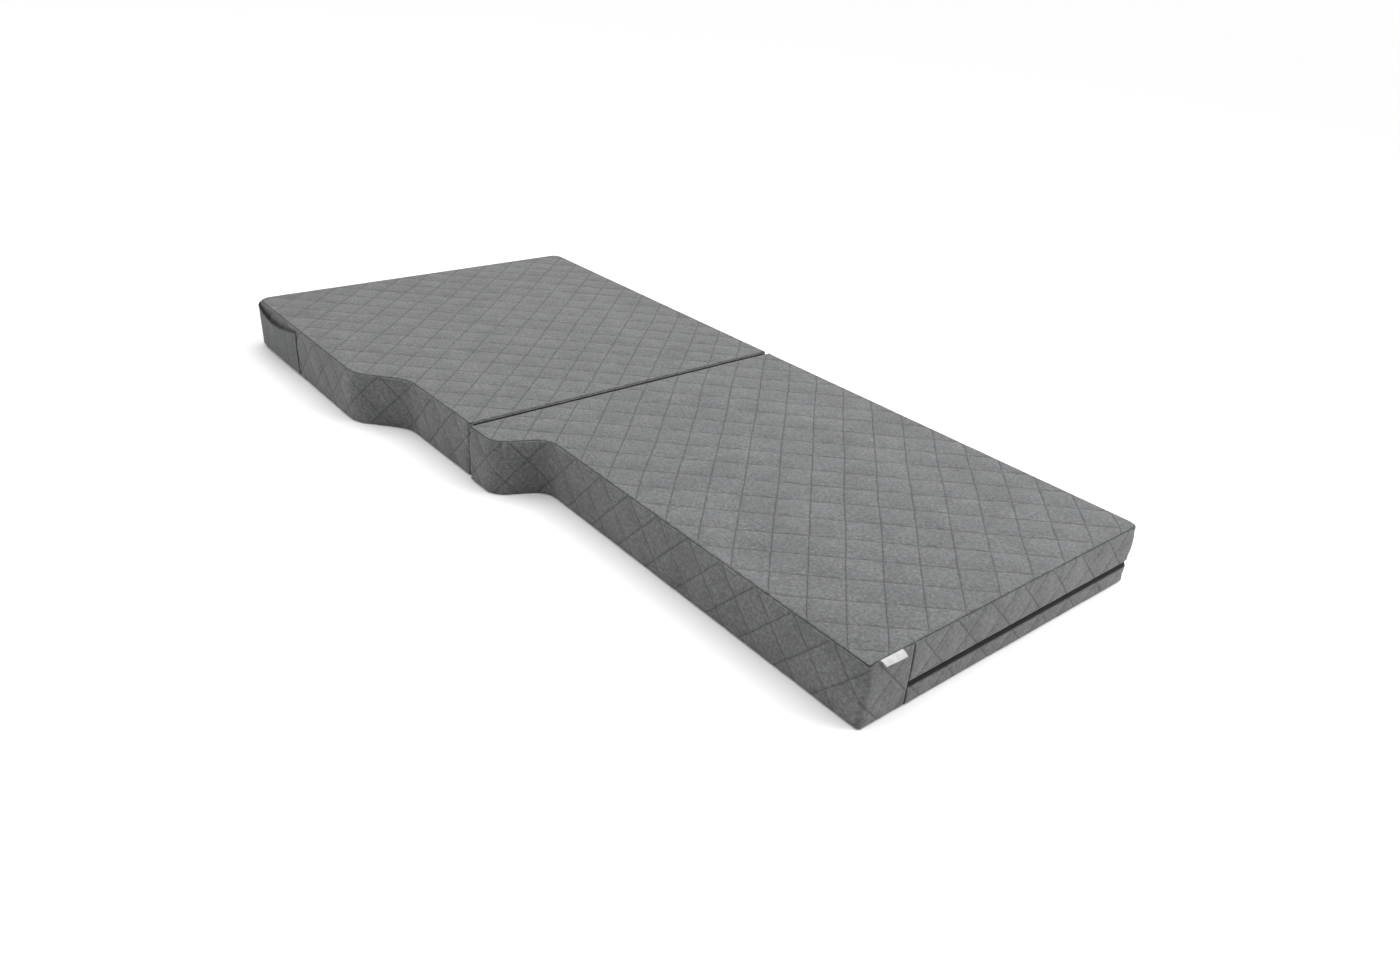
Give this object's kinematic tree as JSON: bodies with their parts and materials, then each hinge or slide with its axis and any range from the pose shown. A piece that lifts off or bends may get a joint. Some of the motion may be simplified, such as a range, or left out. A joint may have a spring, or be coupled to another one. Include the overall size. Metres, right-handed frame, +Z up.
{
  "type": "memory foam mattress",
  "caption": "Folding memory foam mattress, straight along one side and stepped in and out along the other, in a quilted grey zipped cover with a side pocket.",
  "frame": {"origin": "under the middle of the whole object, on the surface it lies on", "axes": "+X from the head end to the foot end, +Y from the shaped side to the straight side, +Z up"},
  "size_m": [1.9516, 0.9221, 0.12],
  "materials": {
    "quilted_fabric": "grey melange knit, diamond quilted, matt",
    "base_fabric": "plain dark grey woven fabric, matt",
    "memory_foam": "fine open-cell viscoelastic foam, matt",
    "base_foam": "open-cell cold-cure foam, matt",
    "zip_tape": "woven polyester zip tape, matt",
    "zip_coil": "nylon coil, satin",
    "zip_metal": "black enamelled zinc, satin",
    "label_satin": "off-white woven satin, blank",
    "hem_binding": "dark grey woven binding, matt"
  },
  "bodies": {
    "foot_section": {"foot_base_foam": "base_foam", "foot_memory_foam": "memory_foam", "foot_top_panel": "quilted_fabric", "foot_bottom_panel": "base_fabric", "foot_side_band": "quilted_fabric", "foot_fold_band": "quilted_fabric", "foot_zip_band_upper": "quilted_fabric", "foot_zip_band_lower": "quilted_fabric", "foot_zip_tape_upper": "zip_tape", "foot_zip_tape_lower": "zip_tape", "foot_zip_coil_upper": "zip_coil", "foot_zip_coil_lower": "zip_coil", "foot_zip_stop_start": "zip_metal", "foot_zip_stop_end": "zip_metal", "label": "label_satin", "fold_hinge_strip": "base_fabric"},
    "head_section": {"head_base_foam": "base_foam", "head_memory_foam": "memory_foam", "head_top_panel": "quilted_fabric", "head_bottom_panel": "base_fabric", "head_side_band": "quilted_fabric", "head_fold_band": "quilted_fabric", "head_zip_band_upper": "quilted_fabric", "head_zip_band_lower": "quilted_fabric", "head_zip_tape_upper": "zip_tape", "head_zip_tape_lower": "zip_tape", "head_zip_coil_upper": "zip_coil", "head_zip_coil_lower": "zip_coil", "head_zip_stop_start": "zip_metal", "head_zip_stop_end": "zip_metal", "pocket_panel": "quilted_fabric", "pocket_hem": "hem_binding"},
    "foot_slider": {"foot_zip_slider": "zip_metal"},
    "foot_pull": {"foot_zip_pull": "zip_metal"},
    "head_slider": {"head_zip_slider": "zip_metal"},
    "head_pull": {"head_zip_pull": "zip_metal"}
  },
  "joints": [
    {"name": "fold", "type": "hinge", "parent": "foot_section", "child": "head_section", "pos_m": [-0.0383, 0, 0.1205], "axis": [0, 1, 0], "range_deg": [0, 180]},
    {"name": "foot_zip_slide", "type": "slide", "parent": "foot_section", "child": "foot_slider", "axis": [1, 0, 0], "range_m": [0, 0.9]},
    {"name": "foot_pull_swing", "type": "hinge", "parent": "foot_slider", "child": "foot_pull", "pos_m": [0.0212, 0.4597, 0.04], "axis": [0, 0, 1], "range_deg": [0, 165]},
    {"name": "head_zip_slide", "type": "slide", "parent": "head_section", "child": "head_slider", "axis": [-1, 0, 0], "range_m": [0, 0.825]},
    {"name": "head_pull_swing", "type": "hinge", "parent": "head_slider", "child": "head_pull", "pos_m": [-0.0978, 0.4597, 0.04], "axis": [0, 0, -1], "range_deg": [0, 165]}
  ]
}
